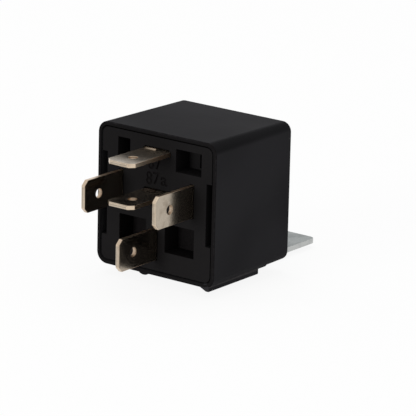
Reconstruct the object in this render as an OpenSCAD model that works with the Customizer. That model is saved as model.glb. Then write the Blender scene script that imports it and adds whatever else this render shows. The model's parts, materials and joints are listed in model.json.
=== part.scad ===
// Five-blade changeover relay in a moulded plug-in case with a steel mounting bracket.
// Own frame: X across the case, Y from the blade tips to the bracket's end, Z up.
// Origin: centre of the whole outline in X and Y, on the surface that the case lies on in Z.
// Inside the modules, y = 0 is the rim of the cover and z = 0 is the middle of the case.

/* [Cover] */
// Width of the case across its rim
body_w = 28; // [27.8:0.1:32]
// Height of the case across its rim
body_h = 28; // [27.8:0.1:32]
// Depth of the case from rim to closed end
cover_depth = 24.2; // [23:0.1:30]
// Radius of the four long edges
corner_r = 2.3; // [1.6:0.1:4]
// Thickness of the side walls
cover_wall = 0.8; // [0.6:0.05:1]
// Thickness of the closed end
end_wall = 1; // [0.8:0.1:1.6]
// Inward lean of each side wall over the whole depth, for the mould
draft = 0.34; // [0.1:0.02:0.5]
// Rounding between the side walls and the closed end
end_round = 0.4; // [0.2:0.05:0.8]
// Height of the keying rib under the case
rib_drop = 0.62; // [0.3:0.02:1]
// Length of the keying rib from the rim
rib_len = 15.6; // [8:0.2:18]

/* [Base plate] */
// How far the base plate sits behind the rim
base_recess = 0.15; // [0:0.05:0.5]
// Distance from the rim to the inner face of the base plate
base_back = 5.2; // [4.8:0.1:6]
// Gap all round between base plate and cover
seam_gap = 0.2; // [0.1:0.02:0.3]
// Distance from the rim to the floor of the moulded pockets
pocket_floor = 4.4; // [3:0.1:4.4]
// Depth of the edge notches, into the plate from its edge
notch_in = 1.2; // [0.8:0.1:1.6]
// Length of the notch on the left edge
notch_left_len = 16.3; // [10:0.1:18]
// Length of the notch on the right edge
notch_right_len = 12.1; // [8:0.1:18]
// Width of the slit in the floor of the upper right pocket
slit_w = 0.9; // [0.5:0.1:1.5]

/* [Blade terminals] */
// Width of a blade
blade_w = 6.3; // [5.8:0.1:6.6]
// Thickness of a blade and of the strip it is stamped from
blade_t = 0.8; // [0.6:0.05:1]
// Length of a blade outside the rim
blade_len = 11.3; // [9:0.1:13]
// Corner cut at a blade's tip
tip_cut = 1.1; // [0.5:0.1:1.6]
// Bevel on both faces along the tip
tip_bevel = 0.18; // [0.05:0.01:0.3]
// Diameter of the latching hole in a blade
detent_d = 1.8; // [1.4:0.1:2.2]
// Distance from the tip to the latching hole
detent_from_tip = 4.35; // [3:0.05:5]
// Height of terminals 85, 86 and 87a above the middle of the case
coil_pin_z = 2.1; // [1.5:0.1:2.5]
// Half the distance between terminals 85 and 86
coil_pin_x = 8.4; // [8.2:0.1:8.8]
// Distance from the top of the case down to terminal 87
pin_87_from_top = 3.9; // [3.7:0.1:4.3]
// Distance from the underside of the case up to the lower edge of terminal 30
blade_30_from_bottom = 3.15; // [2.95:0.05:3.6]
// Clearance round a blade in its slot
slot_gap = 0.1; // [0.05:0.01:0.15]
// Extra clearance above terminals 87 and 87a
slot_relief = 0.35; // [0.1:0.05:0.5]

/* [Bracket] */
// Width of the bracket
bracket_w = 15.8; // [12:0.1:17]
// Sheet thickness of the bracket
bracket_t = 1; // [0.8:0.05:1.5]
// Reach of the bracket beyond the closed end
bracket_reach = 17; // [12:0.5:25]
// Radius of the bracket's outer corners
bracket_corner_r = 1.2; // [0.5:0.1:3]
// Diameter of the fixing hole
bracket_hole_d = 5.5; // [4.5:0.1:6.5]
// Distance from the bracket's end to the fixing hole
bracket_hole_in = 7.9; // [5:0.1:8]
// Thickness of plastic under and beside the bracket
pocket_wall = 0.85; // [0.6:0.05:1.2]
// Distance from the rim to the start of the bracket pocket
pocket_start = 8; // [6:0.5:12]
// Clearance round the bracket in its pocket
bracket_gap = 0.05; // [0.02:0.01:0.1]

/* [Magnet system] */
// Sheet thickness of the yoke
yoke_t = 1.5; // [1.2:0.1:1.8]
// Width of the yoke and of the armature
yoke_w = 13; // [11:0.2:13.4]
// Space between the yoke's long leg and the bobbin cheeks
cheek_under = 1.1; // [0.6:0.1:1.4]
// Space between the bobbin cheeks and the contact strips over them
cheek_over = 0.2; // [0.1:0.05:0.6]
// Space between the bobbin cheeks and the tags beside them
cheek_beside = 1.05; // [0.9:0.05:1.5]
// Diameter of the core
core_d = 6; // [5:0.1:6.6]
// Diameter of the pole face
pole_d = 9.2; // [8:0.2:10]
// Thickness of the pole head
pole_t = 1.2; // [0.8:0.1:1.6]
// How far the winding stays inside the nearer edges of the cheeks
winding_in = 0.35; // [0.2:0.05:1]
// Thickness of the bobbin cheek at the base plate
cheek_t = 0.9; // [0.7:0.1:1.2]
// Thickness of the bobbin tube
spool_wall = 0.7; // [0.5:0.05:1]

/* [Contacts] */
// Thickness of the armature
armature_t = 1.4; // [1.2:0.1:1.6]
// Space between the end of the armature and the contact strips over it
armature_under = 1.3; // [1:0.1:3]
// Angle that the armature turns through, in degrees
stroke = 2.2; // [1.6:0.1:2.6]
// Air gap left at the pole when the armature is closed
pole_gap = 0.05; // [0.03:0.01:0.1]
// Thickness of the contact spring
spring_t = 0.2; // [0.12:0.01:0.3]
// Width of the contact spring over the armature
spring_w = 8; // [7:0.2:9]
// Width of the spring's contact finger
finger_w = 5; // [4:0.2:5.4]
// Diameter of the contact heads
contact_d = 3.2; // [2.6:0.1:3.4]
// Height of the contact heads
contact_h = 0.7; // [0.5:0.05:0.9]
// Gap between contacts that touch in use
contact_gap = 0.06; // [0.04:0.01:0.1]
// Free space between terminal 87a and the closed end
end_space = 1; // [0.6:0.1:2]

/* [Hidden] */
$fn = 48;

// small sizes shared by several pieces
eps = 0.01;
sheet_r = 0.4;        // inner radius of a bend in terminal strip
rivet_r = 0.8;        // shank of a small rivet
rivet_fit = 0.03;     // radial clearance of a rivet in its hole
pole_fit = 0.1;       // radial clearance of the pole in the bobbin
rivet_head_r = 1.2;
rivet_head_h = 0.4;
crown = 0.12;         // height of the dome on a contact head
strip_margin = 0.1;   // from a contact head to the edge of its strip

// rows of terminals
pin_87_z = body_h / 2 - pin_87_from_top;
pin_30_z = blade_30_from_bottom + blade_w / 2 - body_h / 2;

// cover and base plate
draft_angle = atan(draft / cover_depth);
inner_w = body_w - 2 * cover_wall;
inner_h = body_h - 2 * cover_wall;
inner_r = corner_r - cover_wall;
inner_depth = cover_depth - end_wall;
base_w = inner_w - 2 * seam_gap;
base_h = inner_h - 2 * seam_gap;
notch_floor = 3.05;   // the edge notches end on the catch ledge
catch_in = 0.45;      // height of the catch bead inside the cover
catch_len = 1.6;      // length of the bead's lead-in and land, along Y
catch_gap = 0.05;     // play between the base plate and what holds it
stop_in = 0.8;        // height of the stop ribs inside the cover
stop_w = 1;
stop_len = 2.75;
stop_from_corner = 2.6;

// keying rib and gate nub under the cover
rib_edge = 1.05;      // from the case's side to the rib
rib_w = 2.1;
rib_flat_w = 0.75;    // width of the rib's underside
gate_x = -2.6;
gate_w = 2.2;
gate_drop = 0.35;
gate_len = 1;

// moulded pockets of the base plate, as left and right edge
upper_left_pocket = [-9.3, -6.4];
upper_right_pocket = [4.5, 10.5];
lower_left_pocket = [-8.7, -2.3];
lower_right_pocket = [2.2, 9.1];
// and their heights, level with the blades beside them
upper_pocket_h = 4.4;
lower_pocket_h = 5.6;
upper_pocket_rise = 1.4;  // from terminal 87 to the top of the upper pockets
lower_pocket_drop = 1.3;  // from terminal 30 to the bottom of the lower pockets
upper_pocket_z = [pin_87_z + upper_pocket_rise - upper_pocket_h, pin_87_z + upper_pocket_rise];
lower_pocket_z = [pin_30_z - lower_pocket_drop, pin_30_z - lower_pocket_drop + lower_pocket_h];
slit_margin = 0.3;    // from the pocket's edges to the slit's ends

// blades in the base plate
relief_w = 5.8;       // width of the relief above terminals 87 and 87a
relief_len = 1;
barb_x = [-2.5, 0.1]; // the barbs sit left of the middle
barb_y = [-0.5, -0.15];
barb_h = 0.3;
shoulder_w = 0.35;    // how far a shoulder stands out beside the blade
shoulder_len = 0.9;

// bracket and its pocket under the case
pocket_h = bracket_t + 2 * bracket_gap + pocket_wall;
bracket_top = -body_h / 2 - bracket_gap;
bracket_end = cover_depth + bracket_reach;
bracket_start = pocket_start + pocket_wall + bracket_gap;
bracket_hole_y = bracket_end - bracket_hole_in;
latch_from_end = 4;
latch_y = cover_depth - latch_from_end;
latch_len = 2;
latch_gap = 0.1;      // play between a latch and its notch in the bracket
latch_in = 0.7;

// heights in the magnet system, counted up from terminal 30 and down from terminal 87
yoke_drop = 0.75;     // from the edge of blade 30 to the yoke's outer face
yoke_outer_z = pin_30_z - blade_w / 2 - yoke_drop;
yoke_inner_z = yoke_outer_z + yoke_t;
contact_z = pin_87_z - blade_t / 2 - contact_d / 2;
strip_low_z = contact_z - contact_d / 2 - strip_margin;
hinge_z = yoke_outer_z + armature_t / 2;
armature_len = strip_low_z - armature_under - hinge_z;
cheek_h = strip_low_z - cheek_over - yoke_inner_z - cheek_under;
cheek_w = 2 * coil_pin_x - blade_t - 2 * cheek_beside;
coil_z = yoke_inner_z + cheek_under + cheek_h / 2;
winding_d = min(cheek_w, cheek_h) - 2 * winding_in;
foot_over = 1.9;      // height of the yoke's foot over the core
foot_top_z = coil_z + core_d / 2 + foot_over;

// contact stack, counted back from the closed end
nc_strip_back = inner_depth - end_space;
nc_strip_front = nc_strip_back - blade_t;
nc_face = nc_strip_front - contact_h;
contact_travel = (contact_z - hinge_z) * sin(stroke);
spring_back = nc_face - contact_gap - contact_travel - contact_h;
spring_front = spring_back - spring_t;
armature_front = spring_front - armature_t;
pole_y = armature_front - pole_gap;
no_face = spring_front - contact_h - contact_gap;
no_strip_back = no_face - contact_h;
no_strip_front = no_strip_back - blade_t;

// magnet system, from the base plate to the pivot
foot_back = base_back + yoke_t;
hinge_y = armature_front + armature_t / 2;
horn_w = 1.1;
horn_drop = 0.3;       // from the top of the yoke's plate to the top of a horn
horn_gap = 0.15;
tenon_r = core_d / 2 - 0.8;
rivet_over_h = 0.5;   // riveted end of the core, let into the base plate
rivet_over_r = tenon_r + rivet_over_h;
bobbin_len = pole_y - pole_t / 2 - foot_back;
recess_floor = 0.6;   // thickness of the far cheek behind the pole head
far_cheek_t = pole_t / 2 + recess_floor;

// strip of terminal 30, folded under the yoke
strip_30_z = yoke_outer_z - blade_t;
strip_30_y = 1.8;     // front edge of the fold inside the base plate
strip_30_x = 4.4;     // right edge of the strip
strip_rivet_in = 2;   // from the strip's end to its rivet
strip_30_len = 5.4;   // length of the strip beyond the base plate
strip_30_end = base_back + strip_30_len;
blade_30_in = 0.3;     // from the back of the base plate to the end of blade 30
strip_rivet_x = (blade_t + strip_30_x) / 2;
strip_rivet_y = strip_30_end - strip_rivet_in;

// rivets of the contact spring
tail_gap = 0.5;       // between the strip of terminal 30 and the spring's tail
tail_end_y = strip_30_end + tail_gap;
tail_rivet_x = 2.7;
tail_rivet_in = 1.6;  // from the tail's end to its rivets
tail_rivet_y = tail_end_y + tail_rivet_in;
arm_rivet_x = 2.4;
arm_rivet_z = hinge_z + armature_len / 2;

// bobbin and tags for the ends of the winding
spool_back = foot_back + bobbin_len - far_cheek_t;
tag_w = 2.2;
tag_len = 4.2;
tag_end = base_back + tag_len;
lead_drop = 0.6;      // from the middle of a tag down to the straight run of wire
lead_z = coil_pin_z - lead_drop;
wire_d = 0.26;
wire_turns = 3;       // turns of wire round a tag

// upper strip of terminal 87a, beside terminal 87
runner_w = 2.2;
runner_x = -(blade_w / 2 + 0.55 + runner_w / 2);
riser_y = 2.2;        // front face of the strip that climbs inside the base plate
riser_slope = 5;      // height that the strip needs to move over to the runner
riser_neck = 0.6;     // upright part of the strip over the blade

// whole outline
y_mid = (bracket_end - blade_len) / 2;
z_rest = body_h / 2 + pocket_h;

// ---- placing ----

// moves a piece from the case's frame to the part's frame
module placed() {
    translate([0, -y_mid, z_rest]) children();
}

// turns a piece drawn with the armature closed into its rest pose
module swung_open() {
    translate([0, hinge_y, hinge_z])
        rotate([-stroke, 0, 0])
            translate([0, -hinge_y, -hinge_z]) children();
}

// stands a flat outline, drawn as X and Z, up in the case from y0 to y1
module upright(y0, y1) {
    translate([0, y1, 0]) rotate([90, 0, 0]) linear_extrude(y1 - y0) children();
}

// lays a flat outline, drawn as X and Y, down in the case from z0 to z1
module flat(z0, z1) {
    translate([0, 0, z0]) linear_extrude(z1 - z0) children();
}

// runs a side profile, drawn as Y and Z, across the case from x0 to x1
module across(x0, x1) {
    translate([x0, 0, 0]) rotate([90, 0, 90]) linear_extrude(x1 - x0) children();
}

// ---- shapes used more than once ----

module rounded_rect(w, h, r) {
    square([w - 2 * r, h], center = true);
    square([w, h - 2 * r], center = true);
    for (sx = [-1, 1], sz = [-1, 1])
        translate([sx * (w / 2 - r), sz * (h / 2 - r)]) circle(r);
}

// rectangle given by its low and high edges
module span(x0, x1, z0, z1) {
    translate([x0, z0]) square([x1 - x0, z1 - z0]);
}

// box given by its low and high corners
module block(x, y, z) {
    translate([x[0], y[0], z[0]]) cube([x[1] - x[0], y[1] - y[0], z[1] - z[0]]);
}

// cylinder along Y from y0 to y1
module rod_y(r, y0, y1) {
    translate([0, y0, 0]) rotate([-90, 0, 0]) cylinder(r = r, h = y1 - y0);
}

// cylinder along Z from z0 to z1
module rod_z(r, z0, z1) {
    translate([0, 0, z0]) cylinder(r = r, h = z1 - z0);
}

// walls that lean inwards from the rim, as they leave the mould
module leaning(w, h, r, y0, y1) {
    lean0 = 2 * draft * y0 / cover_depth;
    lean1 = 2 * draft * y1 / cover_depth;
    translate([0, y0, 0])
        rotate([-90, 0, 0])
            linear_extrude(y1 - y0, scale = [(w - lean1) / (w - lean0), (h - lean1) / (h - lean0)])
                rounded_rect(w - lean0, h - lean0, r);
}

// quarter bend of strip: outer corner at the origin of a Y-Z side profile
module bend_profile(t) {
    intersection() {
        difference() {
            circle(sheet_r + t);
            circle(sheet_r);
        }
        square(sheet_r + t);
    }
}

// contact head with a low dome, base at the origin, dome towards +Y
module contact_head() {
    dome_r = (pow(contact_d / 2, 2) + pow(crown, 2)) / (2 * crown);
    rotate([-90, 0, 0])
        rotate_extrude()
            intersection() {
                square([contact_d / 2, contact_h]);
                translate([0, contact_h - dome_r]) circle(dome_r, $fn = 360);
            }
}

// ---- cover ----

// keying rib along the lower right edge, following the lean of the wall
module keying_rib() {
    rib_out = body_w / 2 - rib_edge;
    translate([0, 0, -body_h / 2])
        rotate([draft_angle, 0, 0])
            upright(0, rib_len)
                polygon([
                    [rib_out - rib_w, cover_wall / 2], [rib_out - rib_w, 0],
                    [rib_out - rib_flat_w, -rib_drop], [rib_out, -rib_drop], [rib_out, corner_r / 2]
                ]);
}

// nub left by the mould gate, a flat segment of a round
module gate_nub() {
    nub_r = (pow(gate_w / 2, 2) + pow(gate_drop, 2)) / (2 * gate_drop);
    intersection() {
        translate([gate_x, 0, nub_r - body_h / 2 - gate_drop]) rod_y(nub_r, 0, gate_len);
        block([gate_x - gate_w, gate_x + gate_w], [0, gate_len],
              [-body_h / 2 - 2 * gate_drop, cover_wall / 2 - body_h / 2]);
    }
}

// pocket under the case, with a slot that the bracket slides into
module bracket_pocket() {
    slot_w = bracket_w + 2 * bracket_gap;
    pocket_w = slot_w + 2 * pocket_wall;
    pocket_top = -body_h / 2 + draft + cover_wall / 2;
    edge_r = 0.6;
    difference() {
        upright(pocket_start, cover_depth - end_round)
            difference() {
                translate([0, -z_rest + pocket_w / 2]) rounded_rect(pocket_w, pocket_w, edge_r);
                span(-pocket_w, pocket_w, pocket_top, pocket_w);
            }
        block([-slot_w / 2, slot_w / 2], [pocket_start + pocket_wall, cover_depth + 1],
              [bracket_top - bracket_t - bracket_gap, bracket_top + bracket_gap]);
    }
    // latches that snap into the notches of the bracket
    for (side = [-1, 1])
        mirror([side < 0 ? 1 : 0, 0, 0])
            block([slot_w / 2 - latch_in + bracket_gap + latch_gap, slot_w / 2 + eps],
                  [latch_y + latch_gap, latch_y + latch_len - latch_gap],
                  [bracket_top - bracket_t - 2 * bracket_gap, bracket_top + 2 * bracket_gap]);
}

// bead inside a side wall that holds the base plate's catch ledge, and the two stops behind it
module catch_and_stops(notch_len) {
    wall_x = inner_w / 2;
    bead_len = notch_len - 2;
    translate([0, 0, -bead_len / 2])
        linear_extrude(bead_len)
            polygon([
                [wall_x + cover_wall / 2, notch_floor - catch_len], [wall_x, notch_floor - catch_len],
                [wall_x - catch_in, notch_floor - catch_in - catch_gap],
                [wall_x - catch_in, notch_floor - catch_gap],
                [wall_x + cover_wall / 2, notch_floor - catch_gap]
            ]);
    for (side = [-1, 1])
        translate([0, 0, side * (inner_h / 2 - stop_from_corner)])
            block([wall_x - stop_in, wall_x + cover_wall / 2],
                  [base_back + catch_gap, base_back + catch_gap + stop_len], [-stop_w / 2, stop_w / 2]);
}

module cover() {
    placed() color("#232426") {
        difference() {
            union() {
                leaning(body_w, body_h, corner_r, 0, cover_depth - end_round);
                // rounded edge round the closed end
                for (i = [0:2]) {
                    a0 = i * 30;
                    a1 = a0 + 30;
                    in0 = end_round * (1 - cos(a0));
                    in1 = end_round * (1 - cos(a1));
                    end_w = body_w - 2 * draft;
                    end_h = body_h - 2 * draft;
                    translate([0, cover_depth - end_round * (1 - sin(a0)), 0])
                        rotate([-90, 0, 0])
                            linear_extrude(end_round * (sin(a1) - sin(a0)),
                                           scale = [(end_w - 2 * in1) / (end_w - 2 * in0),
                                                    (end_h - 2 * in1) / (end_h - 2 * in0)])
                                rounded_rect(end_w - 2 * in0, end_h - 2 * in0, corner_r);
                }
                keying_rib();
                gate_nub();
            }
            leaning(inner_w, inner_h, inner_r, -eps, inner_depth);
        }
        bracket_pocket();
        catch_and_stops(notch_right_len);
        mirror([1, 0, 0]) catch_and_stops(notch_left_len);
    }
}

// ---- base plate ----

// slot through the base plate for a blade that lies flat or stands up
module blade_slot(x, z, lying) {
    half_w = blade_w / 2 + slot_gap;
    half_t = blade_t / 2 + slot_gap;
    if (lying)
        block([x - half_w, x + half_w], [-eps, base_back + eps], [z - half_t, z + half_t]);
    else
        block([x - half_t, x + half_t], [-eps, base_back + eps], [z - half_w, z + half_w]);
}

// moulded pocket in the front of the base plate
module front_pocket(x, z) {
    block(x, [-eps, pocket_floor], z);
}

module base_plate() {
    placed() color("#26272a")
        difference() {
            upright(base_recess, base_back)
                rounded_rect(base_w, base_h, inner_r - seam_gap);
            front_pocket(upper_left_pocket, upper_pocket_z);
            front_pocket(upper_right_pocket, upper_pocket_z);
            front_pocket(lower_left_pocket, lower_pocket_z);
            front_pocket(lower_right_pocket, lower_pocket_z);
            block([cheek_w / 2, cheek_w / 2 + slit_w], [0, base_back + eps],
                  [upper_pocket_z[0] + slit_margin, upper_pocket_z[1] - slit_margin]);
            // edge notches, down to the catch ledges
            block([-base_w, -base_w / 2 + notch_in], [-eps, notch_floor],
                  [-notch_left_len / 2, notch_left_len / 2]);
            block([base_w / 2 - notch_in, base_w], [-eps, notch_floor],
                  [-notch_right_len / 2, notch_right_len / 2]);
            // blade slots
            blade_slot(0, pin_87_z, true);
            blade_slot(0, coil_pin_z, true);
            blade_slot(-coil_pin_x, coil_pin_z, false);
            blade_slot(coil_pin_x, coil_pin_z, false);
            blade_slot(0, pin_30_z, false);
            for (z = [pin_87_z, coil_pin_z])
                block([-relief_w / 2, relief_w / 2], [-eps, relief_len],
                      [z, z + blade_t / 2 + slot_gap + slot_relief]);
            // space for the climbing strip of terminal 87a
            upright(riser_y - slot_gap, base_back + eps) riser_outline(slot_gap);
            // space for the folded strip of terminal 30
            upright(strip_30_y - slot_gap, base_back + eps) {
                span(-blade_t / 2 - slot_gap, blade_t / 2 + slot_gap, strip_30_z - slot_gap, pin_30_z);
                span(-blade_t / 2 - slot_gap, strip_30_x + slot_gap,
                     strip_30_z - slot_gap, yoke_outer_z + slot_gap);
                span(0, blade_t / 2 + sheet_r, strip_30_z, yoke_outer_z + sheet_r);
            }
            // space for the riveted end of the core
            translate([0, 0, coil_z])
                rod_y(rivet_over_r + 2 * slot_gap,
                      base_back - rivet_over_h - 2 * slot_gap, base_back + eps);
        }
}

// ---- terminals ----

// blade lying flat, tip towards -Y, running in to y = inner
module blade(inner) {
    tip = -blade_len;
    difference() {
        intersection() {
            linear_extrude(blade_t, center = true)
                polygon([
                    [-blade_w / 2, inner], [-blade_w / 2, tip + tip_cut], [-blade_w / 2 + tip_cut, tip],
                    [blade_w / 2 - tip_cut, tip], [blade_w / 2, tip + tip_cut], [blade_w / 2, inner]
                ]);
            across(-blade_w, blade_w)
                polygon([
                    [inner, -blade_t / 2], [tip + tip_bevel, -blade_t / 2],
                    [tip, -blade_t / 2 + tip_bevel], [tip, blade_t / 2 - tip_bevel],
                    [tip + tip_bevel, blade_t / 2], [inner, blade_t / 2]
                ]);
        }
        translate([0, tip + detent_from_tip, 0])
            rod_z(detent_d / 2, -blade_t, blade_t);
    }
}

// barb raised from a flat blade at the base plate, which keeps it from being pushed in
module barb() {
    across(barb_x[0], barb_x[1])
        polygon([
            [barb_y[1], blade_t / 2 - eps], [barb_y[1], blade_t / 2 + barb_h],
            [barb_y[0], blade_t / 2 - eps]
        ]);
}

// wide part of a terminal that bears on the back of the base plate
module shoulders() {
    span(-blade_w / 2 - shoulder_w, blade_w / 2 + shoulder_w, base_back, base_back + shoulder_len);
}

// coil terminal: blade with shoulders against the base plate and a tag for the winding's end
module coil_terminal() {
    notch_r = 0.3;
    placed() color("#b5aa9a")
        translate([coil_pin_x, 0, coil_pin_z])
            rotate([0, -90, 0]) {
                blade(base_back);
                flat(-blade_t / 2, blade_t / 2) {
                    shoulders();
                    difference() {
                        span(-tag_w / 2, tag_w / 2, base_back, tag_end);
                        for (side = [-1, 1])
                            translate([side * tag_w / 2, tag_end - 3 * notch_r]) circle(notch_r);
                    }
                }
            }
}

module terminal_85() {
    coil_terminal();
}

module terminal_86() {
    mirror([1, 0, 0]) coil_terminal();
}

// terminal 30: upright blade, folded at its lower edge into a strip along the yoke
module terminal_30() {
    back = base_back - blade_30_in;
    placed() color("#b5aa9a") {
        translate([0, 0, pin_30_z]) rotate([0, -90, 0]) blade(back);
        difference() {
            union() {
                block([-blade_t / 2, blade_t / 2], [strip_30_y, back],
                      [strip_30_z + blade_t + sheet_r, pin_30_z]);
                block([blade_t / 2 + sheet_r, strip_30_x], [strip_30_y, strip_30_end],
                      [strip_30_z, yoke_outer_z]);
                translate([blade_t / 2 + sheet_r, 0, yoke_outer_z + sheet_r])
                    upright(strip_30_y, back)
                        rotate([0, 0, 180]) bend_profile(blade_t);
            }
            translate([strip_rivet_x, strip_rivet_y, 0])
                rod_z(rivet_r + rivet_fit, strip_30_z - 1, yoke_outer_z + 1);
        }
    }
}

// terminal 87: flat blade that runs up beside the coil and folds down into the make contact
module terminal_87() {
    leg_w = 5;
    placed() color("#b5aa9a")
        difference() {
            union() {
                translate([0, 0, pin_87_z]) {
                    blade(base_back);
                    barb();
                    flat(-blade_t / 2, blade_t / 2) {
                        shoulders();
                        span(-leg_w / 2, leg_w / 2, base_back, no_strip_front - sheet_r);
                    }
                }
                across(-leg_w / 2, leg_w / 2)
                    translate([no_strip_front - sheet_r, pin_87_z - blade_t / 2 - sheet_r])
                        bend_profile(blade_t);
                upright(no_strip_front, no_strip_back)
                    span(-leg_w / 2, leg_w / 2, strip_low_z, pin_87_z - blade_t / 2 - sheet_r);
            }
            translate([0, 0, contact_z])
                rod_y(rivet_r + rivet_fit, no_strip_front - 1, no_strip_back + 1);
        }
}

// strip of terminal 87a that climbs inside the base plate, seen from the blades
module riser_outline(gap) {
    low = coil_pin_z - blade_t / 2;
    high = pin_87_z + blade_t / 2;
    left = runner_x - runner_w / 2;
    right = runner_x + runner_w / 2;
    polygon([
        [-blade_w / 2 - gap, low - gap], [blade_w / 2 + gap, low - gap],
        [blade_w / 2 + gap, low + blade_t + riser_neck + gap], [right + gap, low + riser_slope + gap],
        [right + gap, high + gap], [left - gap, high + gap], [left - gap, low + riser_slope - 1],
        [-blade_w / 2 - gap, low + blade_t + riser_neck]
    ]);
}

// terminal 87a: flat blade, climbing strip, runner past the coil and cross strip with the break contact
module terminal_87a() {
    high = pin_87_z + blade_t / 2;
    left = runner_x - runner_w / 2;
    right = runner_x + runner_w / 2;
    placed() color("#b5aa9a")
        difference() {
            union() {
                translate([0, 0, coil_pin_z]) {
                    blade(riser_y + blade_t);
                    barb();
                }
                upright(riser_y, riser_y + blade_t) riser_outline(0);
                block([left, right], [riser_y, nc_strip_back], [high - blade_t, high]);
                upright(nc_strip_front, nc_strip_back) {
                    span(left, right, strip_low_z, high);
                    span(left, finger_w / 2, strip_low_z, contact_z + contact_d / 2);
                }
            }
            translate([0, 0, contact_z])
                rod_y(rivet_r + rivet_fit, nc_strip_front - 1, nc_strip_back + 1);
        }
}

// ---- bracket ----

module bracket() {
    placed() color("#95989a")
        difference() {
            flat(bracket_top - bracket_t, bracket_top)
                difference() {
                    union() {
                        span(-bracket_w / 2, bracket_w / 2,
                             bracket_start, bracket_end - bracket_corner_r);
                        span(bracket_corner_r - bracket_w / 2, bracket_w / 2 - bracket_corner_r,
                             bracket_start, bracket_end);
                        for (side = [-1, 1])
                            translate([side * (bracket_w / 2 - bracket_corner_r),
                                       bracket_end - bracket_corner_r])
                                circle(bracket_corner_r);
                    }
                    for (side = [-1, 1])
                        translate([side * bracket_w / 2, latch_y + latch_len / 2])
                            square([2 * latch_in, latch_len], center = true);
                }
            translate([0, bracket_hole_y, 0])
                rod_z(bracket_hole_d / 2, bracket_top - bracket_t - 1, bracket_top + 1);
        }
}

// ---- magnet system ----

// small rivet through a stack, standing along Z from z0 to z1, with a head at each end
module small_rivet(z0, z1) {
    rod_z(rivet_r, z0, z1);
    rod_z(rivet_head_r, z0 - rivet_head_h, z0);
    rod_z(rivet_head_r, z1, z1 + rivet_head_h);
}

module yoke() {
    bend_r = 0.5;
    placed() color("#6e7073")
        difference() {
            union() {
                across(-yoke_w / 2, yoke_w / 2)
                    difference() {
                        union() {
                            span(base_back + bend_r + yoke_t, pole_y, yoke_outer_z, yoke_inner_z);
                            span(base_back, foot_back, yoke_inner_z + bend_r, foot_top_z);
                            translate([foot_back + bend_r, yoke_inner_z + bend_r])
                                intersection() {
                                    circle(bend_r + yoke_t);
                                    translate([-bend_r - yoke_t, -bend_r - yoke_t])
                                        square(bend_r + yoke_t);
                                }
                        }
                        translate([foot_back + bend_r, yoke_inner_z + bend_r]) circle(bend_r);
                    }
                // horns that keep the armature in line
                for (side = [-1, 1])
                    translate([side * (yoke_w - horn_w) / 2, 0, 0])
                        block([-horn_w / 2, horn_w / 2], [pole_y - eps, armature_front + armature_t],
                              [yoke_outer_z, yoke_inner_z - horn_drop]);
            }
            translate([0, 0, coil_z]) rod_y(tenon_r + rivet_fit, base_back - 1, foot_back + 1);
            translate([strip_rivet_x, strip_rivet_y, 0])
                rod_z(rivet_r + rivet_fit, yoke_outer_z - 1, yoke_inner_z + 1);
            for (side = [-1, 1])
                translate([side * tail_rivet_x, tail_rivet_y, 0])
                    rod_z(rivet_r + rivet_fit, yoke_outer_z - 1, yoke_inner_z + 1);
        }
}

module core() {
    placed() color("#7d7f82")
        translate([0, 0, coil_z]) {
            rod_y(core_d / 2, foot_back, pole_y - pole_t);
            rod_y(pole_d / 2, pole_y - pole_t, pole_y);
            rod_y(tenon_r, base_back, foot_back);
            rod_y(rivet_over_r, base_back - rivet_over_h, base_back);
        }
}

module bobbin() {
    corner = 1;
    notch_r = 0.4;
    placed() color("#2c2a28")
        translate([0, 0, coil_z])
            difference() {
                union() {
                    upright(foot_back, foot_back + cheek_t)
                        rounded_rect(cheek_w, cheek_h, corner);
                    upright(spool_back, foot_back + bobbin_len)
                        rounded_rect(cheek_w, cheek_h, corner);
                    rod_y(core_d / 2 + spool_wall, foot_back, foot_back + bobbin_len);
                }
                rod_y(core_d / 2 + rivet_fit, foot_back - 1, pole_y);
                rod_y(pole_d / 2 + pole_fit, pole_y - pole_t, pole_y);
                // notches that guide the ends of the winding
                for (side = [-1, 1])
                    translate([side * cheek_w / 2, 0, lead_z - coil_z])
                        rod_y(notch_r, foot_back - 1, foot_back + cheek_t + eps);
            }
}

module coil_winding() {
    placed() color("#8a4a22")
        translate([0, 0, coil_z])
            difference() {
                rod_y(winding_d / 2, foot_back + cheek_t, spool_back);
                rod_y(core_d / 2 + spool_wall, foot_back, spool_back + 1);
            }
}

// end of the winding: straight run to the tag and the turns round it
module coil_lead() {
    run_y = foot_back + cheek_t + 2 * wire_d;
    // the run starts on the round of the winding
    start_x = sqrt(pow(winding_d / 2, 2) - pow(lead_z - coil_z, 2));
    run_len = coil_pin_x - blade_t / 2 - start_x;
    placed() color("#a05a2c") {
        translate([start_x, run_y, lead_z]) rotate([0, 90, 0]) cylinder(d = wire_d, h = run_len);
        for (i = [0:wire_turns - 1])
            translate([coil_pin_x, run_y + (i - wire_turns / 2) * wire_d, coil_pin_z])
                upright(0, wire_d + eps)
                    difference() {
                        square([blade_t + 2 * wire_d, tag_w + 2 * wire_d], center = true);
                        square([blade_t, tag_w], center = true);
                    }
    }
}

module coil_lead_85() {
    coil_lead();
}

module coil_lead_86() {
    mirror([1, 0, 0]) coil_lead();
}

// ---- moving group ----

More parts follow.
